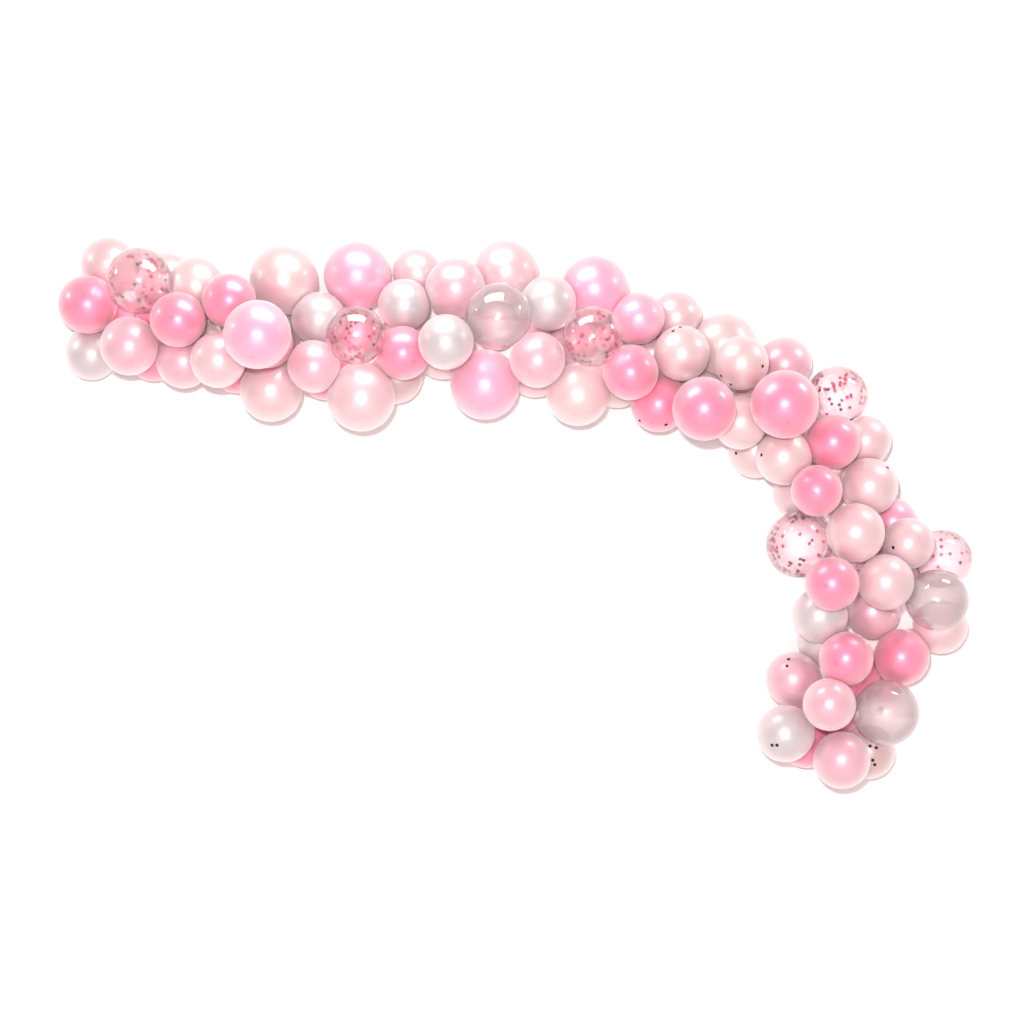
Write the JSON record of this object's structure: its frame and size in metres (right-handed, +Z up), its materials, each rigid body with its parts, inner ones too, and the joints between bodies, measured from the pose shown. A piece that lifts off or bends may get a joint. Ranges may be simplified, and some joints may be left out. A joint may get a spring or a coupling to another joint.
{
  "type": "balloon garland",
  "caption": "Wall garland of blown latex balloons in pinks, peach, pearl white and clear with confetti, tied to a flat plastic strip that runs across and bends down.",
  "frame": {"origin": "on the flat back of the strip, at its middle hanging point", "axes": "+Z up, +Y into the wall, +X to the right when the garland is looked at from the room"},
  "size_m": [3.2292, 0.6051, 1.9354],
  "materials": {
    "hot_pink_latex": "glossy blown latex, strong warm pink, paler where it is stretched most",
    "lilac_pink_latex": "glossy blown latex, cool pink",
    "light_pink_latex": "pearl latex, light pink with a soft pale rim",
    "pale_pink_latex": "pearl latex, very pale pink",
    "peach_latex": "pearl latex, pale peach",
    "cream_latex": "pearl latex, cream",
    "white_pearl_latex": "pearl latex, white with a warm grey middle",
    "clear_latex": "clear latex, slightly cloudy",
    "confetti_latex": "clear latex round foil confetti",
    "foil_confetti": "thin round foil dots in bright pink and dark red",
    "strip_plastic": "clear to milky flexible plastic with paired holes"
  },
  "bodies": {
    "root": {"strip": "strip_plastic", "white_and_hot_pink_duplet_1": "white_pearl_latex", "pale_pink_and_peach_duplet_1": "pale_pink_latex", "light_pink_balloon_1": "light_pink_latex", "confetti_balloon_1": "confetti_latex", "hot_pink_and_light_pink_duplet_1": "hot_pink_latex", "hot_pink_balloon_1": "hot_pink_latex", "peach_and_hot_pink_duplet_1": "peach_latex", "pale_pink_balloon_1": "pale_pink_latex", "peach_and_hot_pink_duplet_2": "peach_latex", "lilac_pink_balloon_1": "lilac_pink_latex", "hot_pink_and_pale_pink_duplet_1": "hot_pink_latex", "peach_and_white_duplet_1": "peach_latex", "light_pink_balloon_2": "light_pink_latex", "hot_pink_duplet_1": "hot_pink_latex", "lilac_pink_and_white_duplet_1": "lilac_pink_latex", "confetti_balloon_2": "confetti_latex", "pale_pink_balloon_2": "pale_pink_latex", "cream_and_pale_pink_duplet_1": "cream_latex", "hot_pink_balloon_2": "hot_pink_latex", "pale_pink_and_light_pink_duplet_1": "pale_pink_latex", "white_balloon_1": "white_pearl_latex", "lilac_pink_and_light_pink_duplet_1": "lilac_pink_latex", "clear_balloon_1": "clear_latex", "pale_pink_and_white_duplet_1": "pale_pink_latex", "light_pink_duplet_1": "light_pink_latex", "peach_and_cream_duplet_1": "peach_latex", "confetti_balloon_3": "confetti_latex", "lilac_pink_duplet_1": "lilac_pink_latex", "hot_pink_balloon_3": "hot_pink_latex", "hot_pink_and_pale_pink_duplet_2": "hot_pink_latex", "pale_pink_and_peach_duplet_2": "pale_pink_latex", "hot_pink_balloon_4": "hot_pink_latex", "peach_and_light_pink_duplet_1": "peach_latex", "peach_balloon_1": "peach_latex", "peach_balloon_2": "peach_latex", "peach_and_light_pink_duplet_2": "peach_latex", "hot_pink_balloon_5": "hot_pink_latex", "peach_and_hot_pink_duplet_3": "peach_latex", "white_balloon_2": "white_pearl_latex", "light_pink_balloon_3": "light_pink_latex", "confetti_balloon_4": "confetti_latex", "pale_pink_duplet_1": "pale_pink_latex", "hot_pink_and_cream_duplet_1": "hot_pink_latex", "hot_pink_balloon_6": "hot_pink_latex", "white_balloon_3": "white_pearl_latex", "light_pink_balloon_4": "light_pink_latex", "hot_pink_balloon_7": "hot_pink_latex", "white_and_hot_pink_duplet_2": "white_pearl_latex", "light_pink_balloon_5": "light_pink_latex", "confetti_balloon_5": "confetti_latex", "hot_pink_balloon_8": "hot_pink_latex", "pale_pink_duplet_2": "pale_pink_latex", "light_pink_duplet_2": "light_pink_latex", "pale_pink_duplet_3": "pale_pink_latex", "clear_balloon_2": "clear_latex", "lilac_pink_and_pale_pink_duplet_1": "lilac_pink_latex", "hot_pink_and_pale_pink_duplet_3": "hot_pink_latex", "clear_balloon_3": "clear_latex", "confetti_balloon_6": "confetti_latex"}
  },
  "joints": []
}
